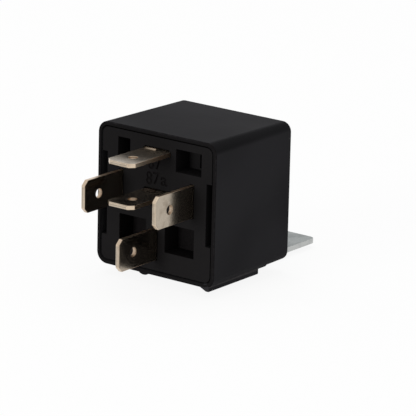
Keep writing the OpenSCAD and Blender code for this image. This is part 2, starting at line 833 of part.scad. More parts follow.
module armature() {
    tail_w = yoke_w - 2 * horn_w - 2 * horn_gap;
    top_z = hinge_z + armature_len;
    corner = 1.5;
    placed() swung_open() color("#75777a")
        difference() {
            union() {
                upright(armature_front, spring_front)
                    union() {
                        span(-tail_w / 2, tail_w / 2, hinge_z, yoke_inner_z + horn_gap);
                        span(-yoke_w / 2, yoke_w / 2, yoke_inner_z + horn_gap, top_z - corner);
                        span(corner - yoke_w / 2, yoke_w / 2 - corner, top_z - corner - eps, top_z);
                        for (side = [-1, 1])
                            translate([side * (yoke_w / 2 - corner), top_z - corner]) circle(corner);
                    }
                // rounded tail that rolls on the end of the yoke
                translate([-tail_w / 2, hinge_y, hinge_z])
                    rotate([0, 90, 0]) cylinder(r = armature_t / 2, h = tail_w);
            }
            for (side = [-1, 1])
                translate([side * arm_rivet_x, 0, arm_rivet_z])
                    rod_y(rivet_r + rivet_fit, armature_front - 1, spring_front + 1);
        }
}

// leaf over the armature, bent round its tail and riveted under the yoke
module contact_spring() {
    bend_in = armature_t / 2;
    bend_out = bend_in + spring_t;
    window_w = 3;
    window_over = 1.6;    // height of the window over the pivot
    window_under = 1.2;   // reach of the window under the yoke
    leaf_in = 1;          // from the armature's end to the wide part of the leaf
    finger_top = contact_z + contact_d / 2 + 2 * strip_margin;
    placed() color("#b08a4a")
        difference() {
            union() {
                swung_open()
                    upright(spring_front, spring_back) {
                        span(-spring_w / 2, spring_w / 2, hinge_z, hinge_z + armature_len - leaf_in);
                        span(-finger_w / 2, finger_w / 2, hinge_z, finger_top);
                    }
                translate([-spring_w / 2, hinge_y, hinge_z])
                    rotate([90, 0, 90])
                        linear_extrude(spring_w)
                            difference() {
                                circle(bend_out);
                                circle(bend_in);
                                rotate(-stroke) translate([-2 * bend_out, 0]) square(4 * bend_out);
                                translate([-2 * bend_out, -2 * bend_out])
                                    square([2 * bend_out, 4 * bend_out]);
                            }
                flat(yoke_outer_z - spring_t, yoke_outer_z)
                    span(-spring_w / 2, spring_w / 2, tail_end_y, hinge_y);
            }
            // window that softens the bend
            block([-window_w / 2, window_w / 2], [hinge_y - window_under, spring_back + 1],
                  [hinge_z - 2 * bend_out, hinge_z + window_over]);
            for (side = [-1, 1])
                translate([side * tail_rivet_x, tail_rivet_y, 0])
                    rod_z(rivet_r + rivet_fit, yoke_outer_z - 1, yoke_outer_z + 1);
            swung_open() {
                for (side = [-1, 1])
                    translate([side * arm_rivet_x, 0, arm_rivet_z])
                        rod_y(rivet_r + rivet_fit, spring_front - 1, spring_back + 1);
                translate([0, 0, contact_z])
                    rod_y(rivet_r + rivet_fit, spring_front - 1, spring_back + 1);
            }
        }
}

module moving_contact() {
    placed() swung_open() color("#c9c9c4")
        translate([0, 0, contact_z]) {
            rod_y(rivet_r, spring_front, spring_back);
            translate([0, spring_back, 0]) contact_head();
            translate([0, spring_front, 0]) mirror([0, 1, 0]) contact_head();
        }
}

module armature_rivets() {
    placed() swung_open() color("#8d8f92")
        for (side = [-1, 1])
            translate([side * arm_rivet_x, armature_front, arm_rivet_z]) {
                rod_y(rivet_r, 0, armature_t + spring_t);
                rod_y(rivet_head_r, armature_t + spring_t, armature_t + spring_t + rivet_head_h);
            }
}

// ---- fixed contacts and yoke rivets ----

module fixed_contact_87() {
    placed() color("#c9c9c4")
        translate([0, 0, contact_z]) {
            rod_y(rivet_r, no_strip_front, no_strip_back);
            translate([0, no_strip_back, 0]) contact_head();
            rod_y(rivet_head_r, no_strip_front - rivet_head_h, no_strip_front);
        }
}

module fixed_contact_87a() {
    placed() color("#c9c9c4")
        translate([0, 0, contact_z]) {
            rod_y(rivet_r, nc_strip_front, nc_strip_back);
            translate([0, nc_strip_front, 0]) mirror([0, 1, 0]) contact_head();
            rod_y(rivet_head_r, nc_strip_back, nc_strip_back + rivet_head_h);
        }
}

module yoke_rivets() {
    placed() color("#8d8f92") {
        translate([strip_rivet_x, strip_rivet_y, 0]) small_rivet(strip_30_z, yoke_inner_z);
        for (side = [-1, 1])
            translate([side * tail_rivet_x, tail_rivet_y, 0])
                small_rivet(yoke_outer_z - spring_t, yoke_inner_z);
    }
}

cover();
base_plate();
bracket();
terminal_30();
terminal_85();
terminal_86();
terminal_87();
terminal_87a();
yoke();
core();
bobbin();
coil_winding();
coil_lead_85();
coil_lead_86();
armature();
contact_spring();
moving_contact();
fixed_contact_87();
fixed_contact_87a();
armature_rivets();
yoke_rivets();
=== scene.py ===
"""Finishes, fine edges and markings of a five-blade changeover relay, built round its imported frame.

Each sub-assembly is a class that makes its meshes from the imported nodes' places and dresses them.
Lengths in the dataclasses are millimetres, and everything that reaches Blender is in metres.
"""

import json
import logging
import math
from dataclasses import dataclass, replace
from enum import Enum
from typing import Any, Sequence

import bmesh
import bpy
from mathutils import Matrix, Vector
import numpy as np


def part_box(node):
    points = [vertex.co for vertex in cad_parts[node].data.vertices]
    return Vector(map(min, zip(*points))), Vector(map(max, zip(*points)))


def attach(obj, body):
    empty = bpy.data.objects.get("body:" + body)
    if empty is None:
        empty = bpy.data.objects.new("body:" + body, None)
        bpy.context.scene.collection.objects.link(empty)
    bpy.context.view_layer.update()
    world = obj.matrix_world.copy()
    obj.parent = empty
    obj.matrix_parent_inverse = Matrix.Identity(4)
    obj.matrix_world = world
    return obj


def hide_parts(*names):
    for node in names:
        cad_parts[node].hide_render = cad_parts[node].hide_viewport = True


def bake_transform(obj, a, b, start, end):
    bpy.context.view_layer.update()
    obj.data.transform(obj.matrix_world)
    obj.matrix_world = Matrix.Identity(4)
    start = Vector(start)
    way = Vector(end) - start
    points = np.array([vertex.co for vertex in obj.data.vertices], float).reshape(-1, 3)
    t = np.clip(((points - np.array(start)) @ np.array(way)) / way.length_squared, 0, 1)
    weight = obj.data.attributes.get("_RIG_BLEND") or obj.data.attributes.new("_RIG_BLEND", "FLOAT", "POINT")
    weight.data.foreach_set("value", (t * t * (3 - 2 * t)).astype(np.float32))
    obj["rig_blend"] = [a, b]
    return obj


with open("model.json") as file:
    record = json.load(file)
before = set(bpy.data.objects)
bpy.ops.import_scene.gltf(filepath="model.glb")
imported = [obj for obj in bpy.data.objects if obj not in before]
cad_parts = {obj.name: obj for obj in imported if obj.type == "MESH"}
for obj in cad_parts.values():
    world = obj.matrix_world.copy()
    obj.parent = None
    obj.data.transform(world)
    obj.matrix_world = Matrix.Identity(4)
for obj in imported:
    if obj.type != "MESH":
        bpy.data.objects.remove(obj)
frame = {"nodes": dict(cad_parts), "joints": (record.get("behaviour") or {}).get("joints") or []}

logging.basicConfig(level=logging.INFO, format="%(name)s: %(message)s")
LOG = logging.getLogger("relay")

MM = 0.001
CASE = "case"
ARMATURE_UNIT = "armature_unit"

SHARP_ANGLE = 32.0  # degrees; an edge past this stays sharp in the shading
BEVEL_ANGLE = 38.0  # degrees; an edge past this is rounded
FLAT_ANGLE = 1.0  # degrees; triangles that meet under this are one flat
WELD = 1e-6  # metres; points nearer than this are one
SIDEWAYS = 0.5  # the share of a normal along an axis under which a face is one of the sides
FACING = 0.9  # the share of a normal along an axis over which a face looks that way
PAST = 1.0  # millimetres; a cutting solid reaches this far past what it opens
ROUND_STEPS = 4  # the steps across a rounded edge
NOISE_MIDDLE = 0.5  # what noise is on average

Colour = tuple[float, float, float]
Triple = tuple[float, float, float]
Pair = tuple[float, float]
BLACK: Colour = (0.0, 0.0, 0.0)


# ---- shader tools ----


class Sock:
    """A node's output that adds Math nodes when it is used in an expression."""

    def __init__(self, shader: "Shader", socket: bpy.types.NodeSocket) -> None:
        """Keeps the socket and the shader that it belongs to."""
        self.shader = shader
        self.socket = socket

    def _math(self, operation: str, *values: "Sock | float") -> "Sock":
        """Adds one Math node.

        Args:
            operation: The node's operation.
            values: Its inputs, in order.

        Returns:
            The node's result.
        """
        node = self.shader.node("ShaderNodeMath", {"operation": operation}, dict(enumerate(values)))
        return Sock(self.shader, node.outputs[0])

    def __add__(self, other: "Sock | float") -> "Sock":
        """self + other."""
        return self._math("ADD", self, other)

    def __radd__(self, other: float) -> "Sock":
        """other + self."""
        return self._math("ADD", other, self)

    def __sub__(self, other: "Sock | float") -> "Sock":
        """self - other."""
        return self._math("SUBTRACT", self, other)

    def __rsub__(self, other: float) -> "Sock":
        """other - self."""
        return self._math("SUBTRACT", other, self)

    def __mul__(self, other: "Sock | float") -> "Sock":
        """self * other."""
        return self._math("MULTIPLY", self, other)

    def __rmul__(self, other: float) -> "Sock":
        """other * self."""
        return self._math("MULTIPLY", other, self)

    def __abs__(self) -> "Sock":
        """self without its sign."""
        return self._math("ABSOLUTE", self)

    def most(self, other: "Sock | float") -> "Sock":
        """The larger of self and other."""
        return self._math("MAXIMUM", self, other)

    def ramp(self, low: float, high: float) -> "Sock":
        """A smooth step.

        Args:
            low: The value that gives 0.
            high: The value that gives 1; it may be under low.

        Returns:
            The stepped value, from 0 to 1.
        """
        node = self.shader.node(
            "ShaderNodeMapRange",
            {"interpolation_type": "SMOOTHSTEP"},
            {"Value": self, "From Min": low, "From Max": high},
        )
        return Sock(self.shader, node.outputs["Result"])


class Shader:
    """The node tree of a material, or of the world, under construction."""

    def __init__(self, name: str, owner: Any = None) -> None:
        """Opens an empty node tree.

        Args:
            name: The name of the material that is made when there is no owner.
            owner: A world or material that already exists.
        """
        self.material = owner or bpy.data.materials.new(name)
        self.material.use_nodes = True
        self.tree = self.material.node_tree
        self.tree.nodes.clear()

    def node(
        self, kind: str, settings: dict[str, Any] | None = None, inputs: dict[Any, Any] | None = None
    ) -> bpy.types.Node:
        """Adds a node.

        Args:
            kind: The node's type.
            settings: Its properties, set first.
            inputs: Values or Socks for its inputs, by name or by number.

        Returns:
            The node.
        """
        made = self.tree.nodes.new(kind)
        for key, value in (settings or {}).items():
            setattr(made, key, value)
        for key, value in (inputs or {}).items():
            if isinstance(value, Sock):
                self.tree.links.new(value.socket, made.inputs[key])
            else:
                made.inputs[key].default_value = value
        return made

    def place(self) -> Sock:
        """The point on the surface, in the object's own coordinates."""
        return Sock(self, self.node("ShaderNodeTexCoord").outputs["Object"])

    def axes(self) -> tuple[Sock, Sock, Sock]:
        """Splits the point on the surface.

        Returns:
            Its three coordinates, in millimetres.
        """
        split = self.node("ShaderNodeSeparateXYZ", None, {0: self.place()})
        x, y, z = (Sock(self, split.outputs[i]) * (1 / MM) for i in range(3))
        return x, y, z

    def noise(
        self, size: float, stretch: Triple = (1, 1, 1), detail: float = 2, rough: float = 0.5,
        start: Triple = (0, 0, 0),
    ) -> Sock:
        """Fractal noise.

        Args:
            size: The size of its largest features, in millimetres.
            stretch: How many times longer the features are along X, Y and Z.
            detail: The number of finer octaves.
            rough: How strong the finer octaves are.
            start: The place in the noise that the origin falls on.

        Returns:
            A value round 0.5.
        """
        scale = tuple(1 / (size * MM * s) for s in stretch)
        mapped = self.node(
            "ShaderNodeMapping", None, {"Vector": self.place(), "Scale": scale, "Location": start}
        )
        node = self.node(
            "ShaderNodeTexNoise",
            None,
            {"Vector": Sock(self, mapped.outputs[0]), "Scale": 1.0, "Detail": detail, "Roughness": rough},
        )
        return Sock(self, node.outputs[0])

    def blend(self, share: "Sock | float", first: "Sock | Colour", second: "Sock | Colour") -> Sock:
        """Mixes two colours.

        Args:
            share: How much of the second there is.
            first: The first colour.
            second: The second colour.

        Returns:
            The mixed colour.
        """
        pair = [(*c, 1.0) if isinstance(c, tuple) else c for c in (first, second)]
        node = self.node("ShaderNodeMix", {"data_type": "RGBA"}, {"Factor": share, 6: pair[0], 7: pair[1]})
        return Sock(self, node.outputs[2])

    def bump(self, height: Sock, depth: float, under: Sock | None = None) -> Sock:
        """Turns a height into a normal.

        Args:
            height: The height, from 0 to 1.
            depth: The depth that 1 stands for, in millimetres.
            under: A normal that the bump is laid over.

        Returns:
            The normal.
        """
        inputs = {"Strength": 1.0, "Distance": depth * MM, "Height": height}
        if under:
            inputs["Normal"] = under
        return Sock(self, self.node("ShaderNodeBump", None, inputs).outputs[0])

    def finish(self, **values: Any) -> bpy.types.Material:
        """Adds the surface and closes the material.

        Args:
            values: Inputs of the Principled shader, with underscores for blanks.

        Returns:
            The material.
        """
        named = {key.replace("_", " "): v for key, v in values.items()}
        inputs = {k: (*v, 1.0) if isinstance(v, tuple) else v for k, v in named.items()}
        surface = self.node("ShaderNodeBsdfPrincipled", None, inputs)
        self.node("ShaderNodeOutputMaterial", None, {"Surface": Sock(self, surface.outputs[0])})
        return self.material


def times(colour: Colour, factor: float) -> Colour:
    """A colour made lighter or darker by a factor."""
    return tuple(c * factor for c in colour)


# ---- finishes ----


@dataclass(frozen=True)
class MouldedPlastic:
    """Dark filled thermoplastic with a fine spark-eroded grain and faint flow marks, and painted shade on its
    upper corners where corner is given.

    The sizes of its patterns are in millimetres. A share is how much of a pattern shows, a step is the
    stretch of noise over which it sets in, a light is how many times lighter than the colour it is, and a
    shine is how much it changes the roughness. Patches is the place in the noise that the origin falls on.
    """

    name: str
    colour: Colour
    roughness: float = 0.5
    gloss: float = 0.006
    grain: float = 0.22
    grain_depth: float = 0.006
    wear: float = 0.0
    scuff: float = 0.7
    scuff_step: Pair = (0.4, 0.66)
    scuff_light: float = 4.0
    speck: float = 0.9
    speck_step: Pair = (0.66, 0.78)
    speck_share: float = 0.35
    speck_light: float = 3.0
    flow: float = 9.0
    flow_along: Triple = (1, 1.6, 1)
    flow_share: float = 0.2
    flow_shine: float = 0.16
    rub: float = 1.6
    rub_along: Triple = (6, 0.5, 1)
    rub_shine: float = 0.05
    wave: float = 5.0
    wave_depth: float = 0.02
    patch: float = 24.0
    patch_step: Pair = (0.34, 0.66)
    patch_share: float = 0.1
    patches: Triple = (0, 0, 0)
    corner: Triple | None = None
    corner_shade_step: Pair = (0.05, 0.75)
    corner_shade: float = 0.5

    def _corner_shade_mask(self, s: Shader) -> Sock:
        """How far a point lies round one of the upper corners, which are darkened as painted shade.

        The corner field holds the case's half width, the height of its middle and the corners' radius.

        Args:
            s: The material's node tree.

        Returns:
            0 on the flats and 1 halfway round a corner.
        """
        half, mid_z, radius = self.corner
        x, _, z = s.axes()
        across = (abs(x) - (half - radius)).most(0.0)
        up = (z - (mid_z + half - radius)).most(0.0)
        return (across * up * (2 / radius**2)).ramp(*self.corner_shade_step)

    def _tone(self, s: Shader, flow: Sock) -> Sock:
        """The plastic's colour, with its patches, specks, painted shade on its upper corners, and scuffs.

        Args:
            s: The material's node tree.
            flow: The flow marks.

        Returns:
            The colour.
        """
        specks = s.noise(self.speck, detail=4, rough=0.7)
        broad = s.noise(self.patch, detail=1, start=self.patches)
        mottled = (broad * (1 - self.flow_share) + flow * self.flow_share).ramp(*self.patch_step)
        darker, lighter = (times(self.colour, 1 + side * self.patch_share) for side in (-1, 1))
        tone = s.blend(mottled, darker, lighter)
        specks = specks.ramp(*self.speck_step) * self.speck_share
        tone = s.blend(specks, tone, times(self.colour, self.speck_light))
        # painted shade: the upper corners are blended towards black
        if self.corner:
            tone = s.blend(self._corner_shade_mask(s) * self.corner_shade, tone, BLACK)
        if self.wear:
            scuffs = s.noise(self.scuff, detail=4, rough=0.65).ramp(*self.scuff_step) * self.wear
            tone = s.blend(scuffs, tone, times(self.colour, self.scuff_light))
        return tone

    def material(self) -> bpy.types.Material:
        """Builds the finish.

        Returns:
            The material.
        """
        s = Shader(self.name)
        flow = s.noise(self.flow, self.flow_along)
        rub = s.noise(self.rub, self.rub_along, detail=4)
        shine = (flow - NOISE_MIDDLE) * self.flow_shine + (rub - NOISE_MIDDLE) * self.rub_shine
        fine = s.bump(s.noise(self.grain, detail=3, rough=0.6), self.grain_depth)
        return s.finish(
            Base_Color=self._tone(s, flow),
            Roughness=self.roughness + shine,
            Specular_IOR_Level=self.gloss,
            Normal=s.bump(s.noise(self.wave, detail=1), self.wave_depth, under=fine),
        )


@dataclass(frozen=True)
class RolledMetal:
    """Sheet metal with a rolling grain and blotches of tarnish.

    Sizes are in millimetres, and fade is the stretch along Y over which a blade browns towards its root.
    Haze is how far the tarnish takes away the metal's mirror.
    """

    name: str
    colour: Colour
    tarnish: Colour
    roughness: float = 0.25
    tarnish_share: float = 0.4
    tarnish_shine: float = 0.7
    grain: float = 0.12
    grain_along: Triple = (1, 14, 1)
    grain_depth: float = 0.002
    grain_tone: float = 0.2
    grain_dark: float = 0.62
    grain_shine: float = 0.5
    grain_step: Pair = (0.35, 0.75)
    blotch: float = 2.2
    blotch_step: Pair = (0.42, 0.68)
    haze: float = 0.0
    fade: Pair | None = None
    fade_least: float = 0.35

    def material(self) -> bpy.types.Material:
        """Builds the finish.

        Returns:
            The material.
        """
        s = Shader(self.name)
        lines = s.noise(self.grain, self.grain_along, detail=3, rough=0.6)
        blotch = s.noise(self.blotch, detail=4, rough=0.6)
        dull = blotch.ramp(*self.blotch_step) * self.tarnish_share
        if self.fade:
            _, y, _ = s.axes()
            dull = dull.most(y.ramp(*self.fade) * (self.fade_least + blotch * (1 - self.fade_least)))
        tone = s.blend(dull, self.colour, self.tarnish)
        grain = lines.ramp(*self.grain_step) * self.grain_tone
        tone = s.blend(grain, tone, times(self.colour, self.grain_dark))
        shine = dull * self.tarnish_shine + (lines - NOISE_MIDDLE) * self.grain_shine
        return s.finish(
            Base_Color=tone,
            Metallic=1 - dull * self.haze,
            Roughness=self.roughness * (1 + shine),
            Normal=s.bump(lines, self.grain_depth),
        )


@dataclass(frozen=True)
class EnamelledWire:
    """Copper wire under a brown varnish, whose patches and grain are in millimetres."""

    name: str
    colour: Colour = (0.36, 0.11, 0.035)
    metallic: float = 0.75
    roughness: float = 0.3
    patch: float = 1.4
    patch_step: Pair = (0.3, 0.7)
    patch_dark: float = 0.7
    patch_shine: float = 0.15
    varnish: float = 0.6
    varnish_step: Pair = (0.2, 0.6)
    grain: float = 0.2
    grain_depth: float = 0.004

    def material(self) -> bpy.types.Material:
        """Builds the finish.

        Returns:
            The material.
        """
        s = Shader(self.name)
        patch = s.noise(self.patch, detail=3)
        darker = times(self.colour, self.patch_dark)
        return s.finish(
            Base_Color=s.blend(patch.ramp(*self.patch_step), darker, self.colour),
            Metallic=self.metallic,
            Roughness=self.roughness + patch * self.patch_shine,
            Coat_Weight=patch.ramp(*self.varnish_step) * self.varnish,
            Normal=s.bump(s.noise(self.grain), self.grain_depth),
        )


@dataclass(frozen=True)
class HollowShadeAndDust:
    """Painted shade for hollows, the floors of engraved numbers and the plate's lower pockets, with specks of
    dust; dust and depth are in millimetres.
    """

    name: str
    colour: Colour = (0.0045, 0.004, 0.0041)
    roughness: float = 0.75
    gloss: float = 0.02
    dust: float = 0.15
    dust_step: Pair = (0.4, 0.8)
    dust_light: float = 2.0
    dust_shine: float = 0.15
    depth: float = 0.01

    def material(self) -> bpy.types.Material:
        """Builds the finish.

        Returns:
            The material.
        """
        s = Shader(self.name)
        dust = s.noise(self.dust, detail=3)
        lighter = times(self.colour, self.dust_light)
        return s.finish(
            Base_Color=s.blend(dust.ramp(*self.dust_step), self.colour, lighter),
            Roughness=self.roughness + dust * self.dust_shine,
            Specular_IOR_Level=self.gloss,
            Normal=s.bump(dust, self.depth),
        )


class Finish(Enum):
    """The finishes that the relay's pieces have."""

    # corner gives the cover painted shade along its upper corners
    CASE = MouldedPlastic(
        "moulded_case", (0.0182, 0.0178, 0.0194), patches=(-8.5, 4.56, 0.69), patch_share=0.17,
        corner=(14.0, 15.95, 2.3),
    )
    CASE_EDGE = MouldedPlastic("rubbed_edge", (0.0066, 0.0062, 0.0066), gloss=0.005, wear=0.2)
    # painted highlight: a lighter line for the floor's light on the lower corners, with some real scuffs
    SHEEN_AND_SCUFF = MouldedPlastic("sheen_and_scuff_line", (0.037, 0.035, 0.036), roughness=0.45, wear=0.12)
    RIM = MouldedPlastic("trimmed_rim", (0.0064, 0.006, 0.0062), roughness=0.55, gloss=0.004)
    BASE = MouldedPlastic("moulded_base", (0.0085, 0.008, 0.0082), roughness=0.55, gloss=0.004)
    BOBBIN = MouldedPlastic("moulded_bobbin", (0.02, 0.018, 0.016), grain=0.3)
    # painted shade in the numbers and the lower pockets, with dust specks
    MARK = HollowShadeAndDust("hollow_shade_and_dust")
    BLADE = RolledMetal(
        "tinned_brass", (0.44, 0.38, 0.305), (0.24, 0.185, 0.13), roughness=0.165, grain_depth=0.0012,
        haze=0.04, fade=(-23.0, -13.0),
    )
    BLADE_FLAT = replace(BLADE, name="tinned_flat", tarnish=(0.25, 0.182, 0.12), roughness=0.19, haze=0.15)
    BLADE_EDGE = RolledMetal(
        "sheared_brass", (0.66, 0.54, 0.41), (0.2, 0.1, 0.045), roughness=0.28, grain_depth=0.0001,
        grain_tone=0.06, tarnish_share=0.3, fade=(-25.5, -18.0),
    )
    # painted shade on the front of 87a's barb at its root
    BARB_SHADE = RolledMetal("painted_barb_shade", (0.06, 0.045, 0.034), (0.04, 0.03, 0.022), roughness=0.5)
    BRACKET = RolledMetal(
        "zinc_plate", (0.305, 0.326, 0.324), (0.215, 0.23, 0.228), roughness=0.42, blotch=2.8
    )
    BRACKET_EDGE = RolledMetal("zinc_edge", (0.5, 0.51, 0.5), (0.36, 0.37, 0.37), roughness=0.35)
    IRON = RolledMetal("plated_iron", (0.42, 0.42, 0.41), (0.27, 0.26, 0.25), roughness=0.35, blotch=3.0)
    SPRING = RolledMetal("rolled_bronze", (0.56, 0.37, 0.19), (0.34, 0.2, 0.1), grain_along=(1, 1, 14))
    RIVET = RolledMetal("headed_steel", (0.5, 0.5, 0.49), (0.32, 0.31, 0.3), grain_along=(1, 1, 1))
    CONTACT = RolledMetal(
        "pressed_silver", (0.76, 0.75, 0.72), (0.45, 0.42, 0.38), roughness=0.18, grain_along=(1, 1, 1)
    )
    WIRE = EnamelledWire("enamelled_wire")

    def get(self) -> bpy.types.Material:
        """The finish's material, built when it is first asked for."""
        return bpy.data.materials.get(self.value.name) or self.value.material()


# ---- mesh tools ----


def mesh_object(name: str, mesh: bpy.types.Mesh, finishes: Sequence[Finish]) -> bpy.types.Object:
    """Puts a mesh into the scene.

    Args:
        name: The object's name.
        mesh: Its mesh, in the row frame.
        finishes: The finishes of its material slots.

    Returns:
        The object, at the origin.
    """
    if mesh.materials:
        mesh.materials.clear()
    for finish in finishes:
        mesh.materials.append(finish.get())
    return linked(name, mesh)


def linked(name: str, data: bpy.types.ID) -> bpy.types.Object:
    """Makes an object of a mesh, a curve, a lamp or a camera.

    Args:
        name: The object's name.
        data: What it shows.

    Returns:
        The object, in the scene.
    """
    made = bpy.data.objects.new(name, data)
    bpy.context.scene.collection.objects.link(made)
    return made


def plain_mesh(obj: bpy.types.Object) -> bpy.types.Mesh:
    """An object's shape with its modifiers, as a new mesh."""
    graph = bpy.context.evaluated_depsgraph_get()
    return bpy.data.meshes.new_from_object(obj.evaluated_get(graph), depsgraph=graph)


def applied(obj: bpy.types.Object) -> bpy.types.Object:
    """Applies an object's modifiers.

    Args:
        obj: The object.

    Returns:
        The same object, with a plain mesh.
    """
    mesh = plain_mesh(obj)
    obj.modifiers.clear()
    old, obj.data = obj.data, mesh
    bpy.data.meshes.remove(old)
    return obj


def shade(mesh: bpy.types.Mesh, angle: float = SHARP_ANGLE) -> None:
    """Shades a mesh smooth, apart from the edges that are sharper than an angle, in degrees."""
    mesh.shade_smooth()
    mesh.set_sharp_from_angle(angle=math.radians(angle))


def merged_copy(node: str) -> bpy.types.Mesh:
    """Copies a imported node's mesh with its loose triangles joined and its flats made whole.

    Args:
        node: The node's name.

    Returns:
        The copy.
    """
    mesh = frame["nodes"][node].data.copy()
    work = bmesh.new()
    work.from_mesh(mesh)
    bmesh.ops.remove_doubles(work, verts=work.verts, dist=WELD)
    bmesh.ops.dissolve_limit(work, angle_limit=math.radians(FLAT_ANGLE), verts=work.verts, edges=work.edges)
    work.to_mesh(mesh)
    work.free()
    for name in [a.name for a in mesh.attributes if a.name == "custom_normal"]:
        mesh.attributes.remove(mesh.attributes[name])
    return mesh


def set_normals(obj: bpy.types.Object) -> bpy.types.Object:
    """Keeps an object's flats flat and lets only its roundings turn the light.

    Args:
        obj: The object.

    Returns:
        The same object.
    """
    shade(obj.data)
    obj.modifiers.new("flats", "WEIGHTED_NORMAL").keep_sharp = True
    return applied(obj)


def soften(obj: bpy.types.Object, width: float, edge_slot: int = -1, segments: int = 2) -> bpy.types.Object:
    """Rounds an object's sharp edges.

    Args:
        obj: The object.
        width: The width of the rounding, in millimetres.
        edge_slot: The material slot that the rounding takes, or -1 for its neighbours' slot.
        segments: The number of steps across the rounding.

    Returns:
        The same object.
    """
    bevel = obj.modifiers.new("edges", "BEVEL")
    bevel.width = width * MM
    bevel.segments = segments
    bevel.limit_method = "ANGLE"
    bevel.angle_limit = math.radians(BEVEL_ANGLE)
    bevel.use_clamp_overlap = False
    bevel.material = edge_slot
    bevel.miter_outer = "MITER_SHARP"
    return set_normals(applied(obj))


def combine(obj: bpy.types.Object, other: bpy.types.Object, operation: str) -> bpy.types.Object:
    """Joins another solid to an object, or cuts it away.

    Args:
        obj: The object.
        other: The other solid, which is removed.
        operation: UNION or DIFFERENCE.

    Returns:
        The same object.
    """
    step = obj.modifiers.new("combine", "BOOLEAN")
    step.operation = operation
    step.solver = "MANIFOLD"
    step.object = other
    applied(obj)
    bpy.data.objects.remove(other)
    return obj


@dataclass
class Outline:
    """A square with round corners, as a ring of points in X and Z."""

    half: float
    radius: float
    steps: int
    least_radius: float = 0.05

    def points(self, y: float, inset: float = 0.0) -> list[Vector]:
        """The ring at one depth.

        Args:
            y: The depth, in millimetres.
            inset: How far the ring lies inside the outline.

        Returns:
            The points, counted round the Y axis.
        """
        radius = max(self.radius - inset, self.least_radius)
        ring = []
        for quarter, (sx, sz) in enumerate(((1, 1), (-1, 1), (-1, -1), (1, -1))):
            cx, cz = (side * (self.half - inset - radius) for side in (sx, sz))
            for i in range(self.steps + 1):
                turn = math.pi / 2 * (quarter + i / self.steps)
                ring.append(Vector((cx + radius * math.cos(turn), y, cz + radius * math.sin(turn))))
        return ring


def quarter_round(radius: float) -> list[Pair]:
    """The profile of a rounded edge, as pairs of depth and inset, from its face (0, radius) to its side."""
    turns = [math.pi / 2 * i / ROUND_STEPS for i in range(ROUND_STEPS, -1, -1)]
    return [(radius * (1 - math.sin(t)), radius * (1 - math.cos(t))) for t in turns]


def loft(rings: Sequence[Sequence[Vector]]) -> bpy.types.Mesh:
    """Skins a row of rings into a closed solid.

    Args:
        rings: Rings with equally many points, in millimetres, in the row frame.

    Returns:
        The mesh, with its faces outward.
    """
    work = bmesh.new()
    rows = [[work.verts.new(p * MM) for p in ring] for ring in rings]
    count = len(rows[0])
    for low, high in zip(rows, rows[1:]):
        for i in range(count):
            j = (i + 1) % count
            work.faces.new((low[i], low[j], high[j], high[i]))
    work.faces.new(rows[0])
    work.faces.new(rows[-1])
    bmesh.ops.recalc_face_normals(work, faces=work.faces)
    mesh = bpy.data.meshes.new("loft")
    work.to_mesh(mesh)
    work.free()
    return mesh


def prism(profile: Sequence[Pair], y0: float, y1: float) -> bpy.types.Mesh:
    """Extrudes a closed outline in X and Z from y0 to y1, all in millimetres."""
    return loft([[Vector((x, y, z)) for x, z in profile] for y in (y0, y1)])


# ---- frame tools ----


def corners(node: str) -> tuple[Vector, Vector]:
    """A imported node's lowest and highest corners, in millimetres."""
    low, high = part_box(node)
    return low / MM, high / MM


def place_on(piece: bpy.types.Object, body: str, slot: str, *nodes: str) -> None:
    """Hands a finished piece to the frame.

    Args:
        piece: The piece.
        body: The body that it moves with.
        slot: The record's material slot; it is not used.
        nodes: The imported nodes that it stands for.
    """
    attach(piece, body)
    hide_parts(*nodes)
    LOG.info("%s: %d faces on %s", piece.name, len(piece.data.polygons), body)


def dress(node: str, finish: Finish) -> None:
    """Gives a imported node's own object a finish.

    Args:
        node: The node's name.
        finish: The finish.
    """
    obj = frame["nodes"][node]
    obj.data.materials.clear()
    obj.data.materials.append(finish.get())
    LOG.info("%s: dressed as %s", node, finish.value.name)


# ---- case ----


@dataclass(frozen=True)
class Mark:
    """A number sunk into the base plate, by its text and its edges from the middle of the case."""

    text: str
    x0: float
    x1: float
    z0: float
    z1: float


